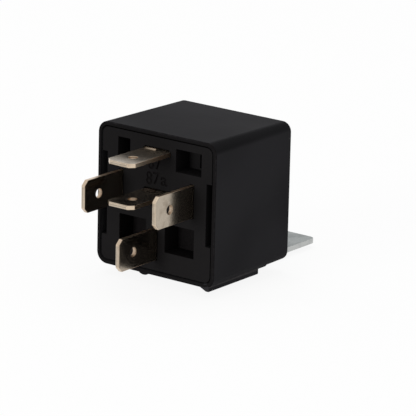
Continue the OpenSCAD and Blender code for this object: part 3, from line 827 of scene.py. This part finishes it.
@dataclass
class Case:
    """The cover with its bracket pocket, and the base plate with its moulded numbers.

    The sheen angles are degrees that a face on a lower corner looks down, where a painted highlight line with
    some scuffs runs, and pocket_lip and pocket_reach tell the plate's lower pockets, which take painted
    shade, from its face and its notches.
    """

    wall: float = 0.8
    end_wall: float = 1.0
    corner_r: float = 2.3
    corner_steps: int = 18
    draft: float = 0.34
    rim_gap: float = 0.02
    rim_round: float = 0.22
    rim_chamfer: float = 0.12
    end_round: float = 0.55
    inside_round: float = 0.4
    rib_edge: float = 1.05
    rib_w: float = 2.1
    rib_flat_w: float = 0.75
    rib_drop: float = 0.62
    rib_len: float = 15.6
    rib_round: float = 0.2
    sheen_from: float = 54.0
    sheen_to: float = 60.0
    sheen_foot: float = 0.18
    gate_x: float = -2.6
    gate_w: float = 2.2
    gate_drop: float = 0.35
    gate_len: float = 1.0
    gate_steps: int = 10
    gate_round: float = 0.1
    pocket_wall: float = 0.85
    pocket_round: float = 0.6
    pocket_steps: int = 8
    pocket_nose: float = 0.75
    pocket_end: float = 0.4
    bracket_gap: float = 0.05
    plate_round: float = 0.09
    pocket_lip: float = 0.3
    pocket_reach: float = 9.2
    mark_depth: float = 0.15
    mark_boldness: float = 0.015
    mark_steps: int = 4
    mark_weld: float = 0.01
    hollow_shade_slot: int = 1

    def __post_init__(self) -> None:
        """Reads the case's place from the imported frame."""
        low, high = corners("cover")
        self.rim_y = low.y + self.rim_gap
        self.end_y = high.y
        self.half_w = high.x
        self.mid_z = high.z - self.half_w
        self.bottom_z = self.mid_z - self.half_w

    def _profile(self) -> list[Pair]:
        """The wall's profile, from the closed end's inside over the rim to its outside.

        Returns:
            Pairs of depth behind the rim and inset from the rim's outline.
        """
        depth = self.end_y - self.rim_y

        def lean(y: float) -> float:
            """The inset that the mould's draft gives at a depth."""
            return self.draft * y / depth

        floor = depth - self.end_wall
        side = self.wall + lean(floor)
        inside = [(floor - y, side + inset) for y, inset in quarter_round(self.inside_round)]
        lip = [(self.rim_chamfer, self.wall), (0.0, self.wall - self.rim_chamfer)]
        end = [(depth - y, lean(depth) + inset) for y, inset in reversed(quarter_round(self.end_round))]
        return inside + lip + quarter_round(self.rim_round) + end

    def _shell(self) -> bpy.types.Object:
        """Makes the cover's open box, with round rim and round closed end.

        Returns:
            The box, with its rim and the painted highlight lines, with some scuffs, along its lower corners
            marked by slots.
        """
        outline = Outline(self.half_w, self.corner_r, self.corner_steps)
        start = Vector((0, self.rim_y, self.mid_z))
        rings = [[p + start for p in outline.points(y, inset)] for y, inset in self._profile()]
        finishes = [Finish.CASE, Finish.CASE_EDGE, Finish.RIM, Finish.SHEEN_AND_SCUFF]
        shell = mesh_object("cover_shell", loft(rings), finishes)
        for face in shell.data.polygons:
            at = face.center.y / MM - self.rim_y
            out = max(abs(face.center.x), abs(face.center.z - self.mid_z * MM)) / MM
            down = math.degrees(math.atan2(-face.normal.z, abs(face.normal.x)))
            if at < self.rim_round:
                rounded = out > self.half_w - self.rim_round
                face.material_index = finishes.index(Finish.CASE_EDGE if rounded else Finish.RIM)
            # painted highlight line, with some scuffs, along the lower corners
            elif self.sheen_from < down < self.sheen_to and out > self.half_w - self.wall - self.draft:
                face.material_index = finishes.index(Finish.SHEEN_AND_SCUFF)
        return shell

    def _rib(self) -> bpy.types.Object:
        """Makes the keying rib under the lower right edge.

        Returns:
            The rib, whose slope goes on into the cover's wall.
        """
        out = self.half_w - self.rib_edge
        z = self.bottom_z
        root = self.wall / 2
        spread = (self.rib_w - self.rib_flat_w) * root / self.rib_drop
        profile = [
            (out - self.rib_w - spread, z + root),
            (out - self.rib_flat_w, z - self.rib_drop),
            (out, z - self.rib_drop),
            (out, z + self.sheen_foot),
            (out, z + self.corner_r / 2),
        ]
        # the rib is moulded with the cover but takes the darker base plastic as painted shade
        finishes = [Finish.BASE, Finish.SHEEN_AND_SCUFF]
        mesh = prism(profile, self.rim_y, self.rim_y + self.rib_len)
        rib = soften(mesh_object("rib", mesh, finishes), self.rib_round, segments=3)
        for face in rib.data.polygons:
            # painted highlight line, with some scuffs, on the rib's outer face
            if face.normal.x > FACING and face.center.z > (z + self.sheen_foot) * MM:
                face.material_index = finishes.index(Finish.SHEEN_AND_SCUFF)
        return rib

    def _gate(self) -> bpy.types.Object:
        """Makes the nub that the mould's gate leaves at the rim.

        Returns:
            The nub, a flat arc under the wall.
        """
        radius = ((self.gate_w / 2) ** 2 + self.gate_drop**2) / (2 * self.gate_drop)
        half = math.asin(self.gate_w / 2 / radius)
        centre = self.bottom_z - self.gate_drop + radius
        turns = [-half + 2 * half * i / self.gate_steps for i in range(self.gate_steps + 1)]
        profile = [(self.gate_x + radius * math.sin(t), centre - radius * math.cos(t)) for t in turns]
        profile += [(self.gate_x + side * self.gate_w / 2, self.bottom_z + self.wall / 2) for side in (1, -1)]
        start = self.rim_y + self.rim_gap
        mesh = prism(profile, start, self.rim_y + self.gate_len)
        return soften(mesh_object("gate", mesh, [Finish.BASE]), self.gate_round)

    def _pocket(self) -> bpy.types.Object:
        """Makes the housing under the case that the bracket slides into.

        Returns:
            The housing, with its slot open at the closed end of the case.
        """
        gap = Vector((1, 1, 1)) * self.bracket_gap
        low, high = (corner + side * gap for corner, side in zip(corners("bracket"), (-1, 1)))
        front = low.y - self.pocket_wall
        back = self.end_y - self.pocket_end
        top = self.bottom_z + self.draft + self.wall / 2
        half = high.x + self.pocket_wall
        outline = Outline(half, self.pocket_round, self.pocket_steps)
        stations = [(front + y, inset) for y, inset in quarter_round(self.pocket_nose)] + [(back, 0.0)]
        rings = [
            [Vector((p.x, p.y, min(p.z + half, top))) for p in outline.points(y, inset)]
            for y, inset in stations
        ]
        outer = mesh_object("pocket", loft(rings), [Finish.CASE])
        section = [(low.x, low.z), (high.x, low.z), (high.x, high.z), (low.x, high.z)]
        slot = mesh_object("slot", prism(section, low.y, back + PAST), [Finish.CASE])
        return combine(outer, slot, "DIFFERENCE")

    def cover(self) -> bpy.types.Object:
        """Makes the cover from its shell, bracket pocket, rib and gate nub.

        Returns:
            The cover, one closed solid.
        """
        cover = self._shell()
        cover.name = "relay_cover"
        for part in (self._pocket(), self._rib(), self._gate()):
            combine(cover, part, "UNION")
        return set_normals(cover)

    def base(self) -> bpy.types.Object:
        """Makes the base plate with softened edges and sunken numbers.

        Returns:
            The plate, with painted shade inside its lower pockets and its numbers.
        """
        plate = mesh_object("relay_base", merged_copy("base_plate"), [Finish.BASE, Finish.MARK])
        soften(plate, self.plate_round)
        face_y = corners("base_plate")[0].y
        # painted shade inside the plate's lower pockets
        for face in plate.data.polygons:
            x, y, z = face.center / MM
            if y > face_y + self.pocket_lip and z < self.mid_z and abs(x) < self.pocket_reach:
                face.material_index = self.hollow_shade_slot
        for mark in self._marks():
            combine(plate, self._cutter(mark, face_y), "DIFFERENCE")
        return set_normals(plate)

    @staticmethod
    def _marks() -> list[Mark]:
        """Lists the terminal numbers, each beside its blade; 87 and 87a are set out letter by letter.

        Returns:
            The numbers.
        """
        return [
            Mark("8", -2.38, -0.93, 3.53, 6.1),
            Mark("7", -0.74, 0.84, 3.72, 6.2),
            Mark("a", 1.05, 2.6, 3.85, 5.55),
            Mark("8", -1.95, -0.55, 6.6, 9.2),
            Mark("7", -0.3, 1.2, 6.7, 9.3),
            Mark("85", 4.7, 6.9, 1.2, 3.1),
            Mark("86", -11.9, -9.7, 1.2, 3.1),
            Mark("30", 0.1, 1.9, -4.1, -2.5),
        ]

    def _written(self, text: str) -> bpy.types.Mesh:
        """Writes a number as a solid.

        Args:
            text: The number.

        Returns:
            Its mesh, upright in X and Y, in the font's own size.
        """
        curve = bpy.data.curves.new("number", "FONT")
        curve.body = text
        curve.extrude = self.mark_depth
        curve.offset = self.mark_boldness
        curve.resolution_u = self.mark_steps
        written = linked("number", curve)
        mesh = plain_mesh(written)
        bpy.data.objects.remove(written)
        return mesh

    def _cutter(self, mark: Mark, face_y: float) -> bpy.types.Object:
        """Makes one number as a solid that cuts into the plate.

        Args:
            mark: The number and its place.
            face_y: The plate's face, in millimetres.

        Returns:
            The cutting solid.
        """
        mesh = self._written(mark.text)
        work = bmesh.new()
        work.from_mesh(mesh)
        bmesh.ops.remove_doubles(work, verts=work.verts, dist=self.mark_weld * MM)
        bmesh.ops.recalc_face_normals(work, faces=work.faces)
        xs, ys, _ = zip(*(v.co for v in work.verts))
        left, wide = min(xs), (mark.x1 - mark.x0) / (max(xs) - min(xs))
        foot, tall = min(ys), (mark.z1 - mark.z0) / (max(ys) - min(ys))
        for vert in work.verts:
            x = mark.x0 + (vert.co.x - left) * wide
            z = self.mid_z + mark.z0 + (vert.co.y - foot) * tall
            vert.co = Vector((x, face_y - vert.co.z, z)) * MM
        # the cut faces of the numbers take the painted shade of the hollows
        for part in work.faces:
            part.material_index = self.hollow_shade_slot
        work.to_mesh(mesh)
        work.free()
        return mesh_object("number", mesh, [Finish.BASE, Finish.MARK])

    def build(self) -> None:
        """Makes and places the cover and the base plate."""
        place_on(self.cover(), CASE, "case_plastic", "cover")
        place_on(self.base(), CASE, "base_plastic", "base_plate")


# ---- metalwork ----


@dataclass
class Metalwork:
    """The stamped and turned pieces, whose edges are softened as tumbling and plating leave them."""

    blades: tuple[str, ...] = ("terminal_30", "terminal_85", "terminal_86", "terminal_87", "terminal_87a")
    flat_blades: tuple[str, ...] = ("terminal_87", "terminal_87a")
    irons: tuple[str, ...] = ("yoke", "core", "armature")
    edge_slot: int = 1
    barb_shade_slot: int = 2
    blade_round: float = 0.06
    blade_len: float = 10.0
    tip_zone: float = 2.0
    end_on: float = 0.99
    root_zone: float = 0.9
    shaded_barb: str = "terminal_87a"
    barb_slope: float = -0.2
    iron_round: float = 0.1
    bracket_round: float = 0.07

    def _sheared(self, piece: bpy.types.Object, low_y: float) -> None:
        """Marks the sides of a terminal's blade as sheared metal.

        Args:
            piece: The terminal.
            low_y: The blade's tip, in millimetres.
        """
        points = [v.co for v in piece.data.vertices]
        tip = [p for p in points if p.y / MM < low_y + self.tip_zone]
        thick = min((0, 2), key=lambda axis: max(p[axis] for p in tip) - min(p[axis] for p in tip))
        for face in piece.data.polygons:
            start = min(points[i].y for i in face.vertices) / MM
            sideways = abs(face.normal[thick]) < SIDEWAYS and abs(face.normal.y) < self.end_on
            if sideways and start < low_y + self.blade_len:
                face.material_index = self.edge_slot

    def _terminal(self, node: str) -> bpy.types.Object:
        """Makes a terminal whose blade shows bare brass where it was sheared and punched.

        Args:
            node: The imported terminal.

        Returns:
            The terminal.
        """
        broad = Finish.BLADE_FLAT if node in self.flat_blades else Finish.BLADE
        # the slots are in the order of edge_slot and barb_shade_slot
        finishes = [broad, Finish.BLADE_EDGE, Finish.BARB_SHADE]
        piece = mesh_object("relay_" + node, merged_copy(node), finishes)
        low_y = corners(node)[0].y
        self._sheared(piece, low_y)
        soften(piece, self.blade_round, self.edge_slot)
        # painted shade: only this terminal's barb front is darkened
        if node == self.shaded_barb:
            for face in piece.data.polygons:
                at_root = face.center.y / MM > low_y + self.blade_len - self.root_zone
                if at_root and face.normal.y < self.barb_slope:
                    face.material_index = self.barb_shade_slot
        return piece

    def _bracket(self) -> bpy.types.Object:
        """Makes the bracket, whose sheared sides are brighter than its plated flats.

        Returns:
            The bracket.
        """
        piece = mesh_object("relay_bracket", merged_copy("bracket"), [Finish.BRACKET, Finish.BRACKET_EDGE])
        soften(piece, self.bracket_round, self.edge_slot)
        for face in piece.data.polygons:
            if abs(face.normal.z) < SIDEWAYS:
                face.material_index = self.edge_slot
        return piece

    def build(self) -> None:
        """Makes and places the terminals, the bracket and the magnet's iron."""
        for node in self.blades:
            place_on(self._terminal(node), CASE, "terminal_brass", node)
        place_on(self._bracket(), CASE, "bracket_steel", "bracket")
        for node in self.irons:
            piece = mesh_object("relay_" + node, merged_copy(node), [Finish.IRON])
            body = ARMATURE_UNIT if node == "armature" else CASE
            place_on(soften(piece, self.iron_round), body, "magnet_iron", node)


# ---- coil ----


@dataclass
class Coil:
    """The bobbin, its winding and the ends of the wire."""

    wire: float = 0.26
    sides: int = 8
    steps: int = 40
    shade_angle: float = 50.0
    bobbin_round: float = 0.06
    leads: tuple[str, ...] = ("coil_lead_85", "coil_lead_86")

    def _tree(self) -> bpy.types.GeometryNodeTree:
        """Node tree that winds a wire over the inner layers of the coil.

        Returns:
            A tree with the inputs Radius, Length, Wire, Turns and Finish.
        """
        tree = bpy.data.node_groups.new("winding", "GeometryNodeTree")
        face = tree.interface
        for name in ("Radius", "Length", "Wire", "Turns"):
            face.new_socket(name, in_out="INPUT", socket_type="NodeSocketFloat")
        face.new_socket("Finish", in_out="INPUT", socket_type="NodeSocketMaterial")
        face.new_socket("Geometry", in_out="OUTPUT", socket_type="NodeSocketGeometry")
        add = tree.nodes.new
        join = tree.links.new
        given = add("NodeGroupInput").outputs
        spiral = add("GeometryNodeCurveSpiral")
        spiral.inputs["Resolution"].default_value = self.steps
        join(given["Turns"], spiral.inputs["Rotations"])
        join(given["Radius"], spiral.inputs["Start Radius"])
        join(given["Radius"], spiral.inputs["End Radius"])
        join(given["Length"], spiral.inputs["Height"])
        section = add("GeometryNodeCurvePrimitiveCircle")
        section.inputs["Resolution"].default_value = self.sides
        join(given["Wire"], section.inputs["Radius"])
        sweep = add("GeometryNodeCurveToMesh")
        sweep.inputs["Fill Caps"].default_value = True
        join(spiral.outputs[0], sweep.inputs["Curve"])
        join(section.outputs[0], sweep.inputs["Profile Curve"])
        real = add("GeometryNodeRealizeInstances")
        join(sweep.outputs[0], real.inputs[0])
        dressed = add("GeometryNodeSetMaterial")
        join(real.outputs[0], dressed.inputs["Geometry"])
        join(given["Finish"], dressed.inputs["Material"])
        join(dressed.outputs[0], add("NodeGroupOutput").inputs[0])
        return tree

    def _turns(self, radius: float, length: float) -> bpy.types.Object:
        """Winds the outer layer of wire.

        Args:
            radius: The radius to the wire's middle, in millimetres.
            length: The length that the turns take up, in millimetres.

        Returns:
            The layer, along Z from the origin.
        """
        layer = linked("relay_winding", bpy.data.meshes.new("winding"))
        wound = layer.modifiers.new("winding", "NODES")
        wound.node_group = self._tree()
        values = {
            "Radius": radius * MM,
            "Length": length * MM,
            "Wire": self.wire / 2 * MM,
            "Turns": float(math.floor(length / self.wire)),
            "Finish": Finish.WIRE.get(),
        }
        for item in wound.node_group.interface.items_tree:
            if item.name in values:
                wound[item.identifier] = values[item.name]
        return applied(layer)

    def _sleeve(self, middle: Vector, radius: float) -> bpy.types.Mesh:
        """Makes the inner layers as one plain sleeve.

        Args:
            middle: A point on the coil's middle line, in metres.
            radius: The sleeve's outer radius, in metres.

        Returns:
            The sleeve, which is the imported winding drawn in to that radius.
        """
        sleeve = merged_copy("coil_winding")
        inner = min((v.co - middle).xz.length for v in sleeve.vertices)
        for vert in sleeve.vertices:
            flat = Vector((vert.co.x, 0, vert.co.z)) - middle
            if flat.length > (inner + radius) / 2:
                flat *= radius / flat.length
                vert.co.x, vert.co.z = middle.x + flat.x, middle.z + flat.z
        return sleeve

    def winding(self) -> bpy.types.Object:
        """Winds the outer layer of wire over a plain sleeve of inner layers.

        Returns:
            The winding.
        """
        low, high = corners("coil_winding")
        centre = (low + high) / 2
        radius = (high.x - low.x) / 2 - self.wire / 2
        winding = self._turns(radius, high.y - low.y - self.wire)
        start = Vector((centre.x, low.y + self.wire / 2, centre.z)) * MM
        winding.data.transform(Matrix.Translation(start) @ Matrix.Rotation(-math.pi / 2, 4, "X"))
        work = bmesh.new()
        work.from_mesh(winding.data)
        work.from_mesh(self._sleeve(Vector((centre.x, 0, centre.z)) * MM, radius * MM))
        bmesh.ops.recalc_face_normals(work, faces=work.faces)
        work.to_mesh(winding.data)
        work.free()
        winding.data.materials.clear()
        winding.data.materials.append(Finish.WIRE.get())
        shade(winding.data, self.shade_angle)
        return winding

    def build(self) -> None:
        """Makes and places the winding and the bobbin, and dresses the wire's ends."""
        place_on(self.winding(), CASE, "winding_copper", "coil_winding")
        bobbin = mesh_object("relay_bobbin", merged_copy("bobbin"), [Finish.BOBBIN])
        place_on(soften(bobbin, self.bobbin_round), CASE, "bobbin_plastic", "bobbin")
        for node in self.leads:
            dress(node, Finish.WIRE)


# ---- contacts ----


@dataclass
class Contacts:
    """The contact spring, the contact heads and the small rivets."""

    half_bend: float = 0.9
    fixed: tuple[str, ...] = ("fixed_contact_87", "fixed_contact_87a")
    moving: tuple[str, ...] = ("moving_contact",)
    rivets: tuple[str, ...] = ("armature_rivets", "yoke_rivets")

    @staticmethod
    def _plain(name: str, node: str, finish: Finish) -> bpy.types.Object:
        """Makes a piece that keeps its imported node's edges.

        Args:
            name: The piece's name.
            node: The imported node.
            finish: Its finish.

        Returns:
            The piece.
        """
        piece = mesh_object(name, merged_copy(node), [finish])
        shade(piece.data)
        return piece

    def spring(self) -> None:
        """Makes the spring, which bends round the joint between the yoke and the armature, and places it."""
        leaf = self._plain("relay_spring", "contact_spring", Finish.SPRING)
        pivot = Vector(frame["joints"][0]["pos_m"])
        half = self.half_bend * MM
        start = pivot + Vector((0, -half / 2, -half))
        end = pivot + Vector((0, half, half))
        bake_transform(leaf, CASE, ARMATURE_UNIT, start=start, end=end)
        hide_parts("contact_spring")
        LOG.info("%s: %d faces between %s and %s", leaf.name, len(leaf.data.polygons), CASE, ARMATURE_UNIT)

    def build(self) -> None:
        """Makes and places the spring and the contacts, and dresses the rivets."""
        self.spring()
        for body, nodes in ((ARMATURE_UNIT, self.moving), (CASE, self.fixed)):
            for node in nodes:
                place_on(self._plain("relay_" + node, node, Finish.CONTACT), body, "contact_silver", node)
        for node in self.rivets:
            dress(node, Finish.RIVET)


# ---- studio ----


@dataclass(frozen=True)
class Lamp:
    """A soft square lamp, by its place and side in metres and its power in watts."""

    name: str
    place: Triple
    size: float
    power: float


@dataclass
class Studio:
    """Camera, lamps, floor and background.

    Angles are degrees, the camera looks at aim from a distance, and its clip is in metres.
    """

    azimuth: float = 37.113
    elevation: float = 16.023
    roll: float = 1.35
    distance: float = 629.6
    lens: float = 286.6
    aim: Triple = (2.572, -1.995, 12.955)
    clip: Pair = (0.05, 10.0)
    ambient: float = 0.7
    floor_tone: float = 0.8
    floor_speck: float = 8.0
    floor_speck_dark: float = 0.97
    floor_glow: float = 0.9
    floor_reach: float = 3.0
    floor_gap: float = 0.02
    lamps: tuple[Lamp, ...] = (
        Lamp("overhead", (-0.1, 0.1, 0.8), 0.6, 2.6),
        Lamp("front", (-0.12, -0.95, 0.16), 0.3, 7.0),
    )

    def camera(self) -> None:
        """Places the camera."""
        turn, rise, roll = (math.radians(v) for v in (self.azimuth, self.elevation, self.roll))
        back = Vector((math.sin(turn) * math.cos(rise), -math.cos(turn) * math.cos(rise), math.sin(rise)))
        right = Vector((math.cos(turn), math.sin(turn), 0))
        up = back.cross(right)
        rolled_right = right * math.cos(roll) + up * math.sin(roll)
        rolled_up = up * math.cos(roll) - right * math.sin(roll)
        data = bpy.data.cameras.new("camera")
        data.lens = self.lens
        data.clip_start, data.clip_end = self.clip
        camera = linked("camera", data)
        rows = Matrix((rolled_right, rolled_up, back)).transposed()
        spot = (Vector(self.aim) + back * self.distance) * MM
        camera.matrix_world = Matrix.Translation(spot) @ rows.to_4x4()
        bpy.context.scene.camera = camera

    @staticmethod
    def _seen(s: Shader) -> Sock:
        """Tells the rays that show a surface from those that light it.

        Args:
            s: The node tree that asks.

        Returns:
            1 for camera, glossy and transmission rays, and 0 for the others.
        """
        path = s.node("ShaderNodeLightPath").outputs
        names = ("Is Camera Ray", "Is Glossy Ray", "Is Transmission Ray")
        camera, glossy, through = (Sock(s, path[n]) for n in names)
        return camera.most(glossy).most(through)

    def world(self) -> None:
        """Makes a white background that lights the relay at a plain level."""
        world = bpy.data.worlds.new("white")
        bpy.context.scene.world = world
        s = Shader("white", world)
        seen = self._seen(s)
        strength = seen + (1 - seen) * self.ambient
        sky = s.node("ShaderNodeBackground", None, {"Color": (1, 1, 1, 1), "Strength": strength})
        s.node("ShaderNodeOutputWorld", None, {"Surface": Sock(s, sky.outputs[0])})

    def lamp(self, lamp: Lamp) -> None:
        """Adds a lamp that faces the relay and leaves no glint of its own.

        Args:
            lamp: The lamp.
        """
        data = bpy.data.lights.new(lamp.name, "AREA")
        data.shape = "SQUARE"
        data.size = lamp.size
        data.energy = lamp.power
        made = linked(lamp.name, data)
        made.location = lamp.place
        made.visible_glossy = False
        made.rotation_euler = (Vector(lamp.place) * -1).to_track_quat("-Z", "Y").to_euler()

    def _floor_finish(self) -> bpy.types.Material:
        """Makes the floor's matt white, which glows a little where it is seen and keeps a shadow.

        Returns:
            The material.
        """
        s = Shader("pale_floor")
        seen = self._seen(s)
        pale = (self.floor_tone,) * 3
        tone = s.blend(s.noise(self.floor_speck), pale, times(pale, self.floor_speck_dark))
        matt = s.node("ShaderNodeBsdfDiffuse", None, {"Color": tone})
        glow = s.node("ShaderNodeEmission", None, {"Color": (1, 1, 1, 1), "Strength": 1.0})
        shown = {0: seen * self.floor_glow, 1: Sock(s, matt.outputs[0]), 2: Sock(s, glow.outputs[0])}
        mixed = s.node("ShaderNodeMixShader", None, shown)
        s.node("ShaderNodeOutputMaterial", None, {"Surface": Sock(s, mixed.outputs[0])})
        return s.material

    def floor(self) -> None:
        """Lays the floor just under the relay."""
        reach, level = self.floor_reach, -self.floor_gap * MM
        rim = [(x * reach, y * reach, level) for x, y in ((-1, -1), (1, -1), (1, 1), (-1, 1))]
        mesh = bpy.data.meshes.new("floor")
        mesh.from_pydata(rim, [], [(0, 1, 2, 3)])
        mesh.materials.append(self._floor_finish())
        linked("floor", mesh)

    def build(self) -> None:
        """Sets up the view, the background, the floor and the lamps."""
        self.camera()
        self.world()
        self.floor()
        for lamp in self.lamps:
            self.lamp(lamp)
        bpy.context.scene.view_settings.view_transform = "Standard"


# ---- the relay ----


def main() -> None:
    """Builds the relay assembly by assembly, then its surroundings."""
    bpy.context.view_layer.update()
    for assembly in (Case(), Metalwork(), Coil(), Contacts()):
        LOG.info("building %s", type(assembly).__name__)
        assembly.build()
    Studio().build()


if __name__ == "__main__":
    main()
